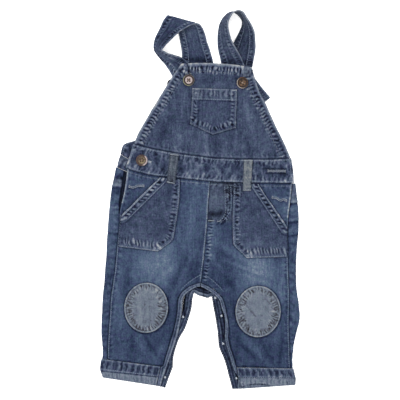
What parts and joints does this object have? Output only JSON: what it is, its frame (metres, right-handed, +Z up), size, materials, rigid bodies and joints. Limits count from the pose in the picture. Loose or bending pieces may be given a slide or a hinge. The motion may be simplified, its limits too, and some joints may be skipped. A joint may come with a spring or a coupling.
{
  "type": "baby dungarees",
  "caption": "Small denim dungarees lying flat face up, with a bib and pocket, waistband, slanted hip pockets, oval knee patches, turn-up cuffs, inner leg poppers and looped straps.",
  "frame": {"origin": "middle of the garment's footprint on the surface it lies on", "axes": "+Z up out of the face of the garment, +Y from the leg hems to the shoulder straps, +X to the viewer's right when the face is seen upright"},
  "size_m": [0.2692, 0.5108, 0.0282],
  "materials": {
    "denim_front": "washed mid blue denim twill",
    "denim_back": "washed dark blue denim twill",
    "denim_grey": "pale grey blue denim twill",
    "denim_wrong_side": "wrong side of the denim, pale blue grey",
    "button_brown": "brown horn look",
    "button_pale": "pale pinkish horn look",
    "popper_metal": "polished stud"
  },
  "bodies": {
    "root": {"front_bib": "denim_front", "bib_pocket": "denim_front", "front_waistband": "denim_front", "front_leg_l": "denim_front", "front_leg_r": "denim_front", "hip_pocket_l": "denim_front", "hip_pocket_r": "denim_front", "front_placket_l": "denim_front", "front_placket_r": "denim_front", "strap_l": "denim_front", "strap_r": "denim_front", "back_bib": "denim_back", "back_waistband": "denim_back", "back_leg_l": "denim_back", "back_leg_r": "denim_back", "back_placket_l": "denim_back", "back_placket_r": "denim_back", "knee_patch_l": "denim_grey", "knee_patch_r": "denim_grey", "belt_loop_l": "denim_grey", "belt_loop_r": "denim_grey", "cuff_l": "denim_wrong_side", "cuff_r": "denim_wrong_side", "bib_button_r": "button_brown", "waist_button": "button_brown", "spare_button": "button_brown", "bib_button_l": "button_pale", "popper_crotch": "popper_metal", "popper_l_1": "popper_metal", "popper_l_2": "popper_metal", "popper_r_1": "popper_metal", "popper_r_2": "popper_metal", "popper_r_3": "popper_metal"}
  },
  "joints": []
}
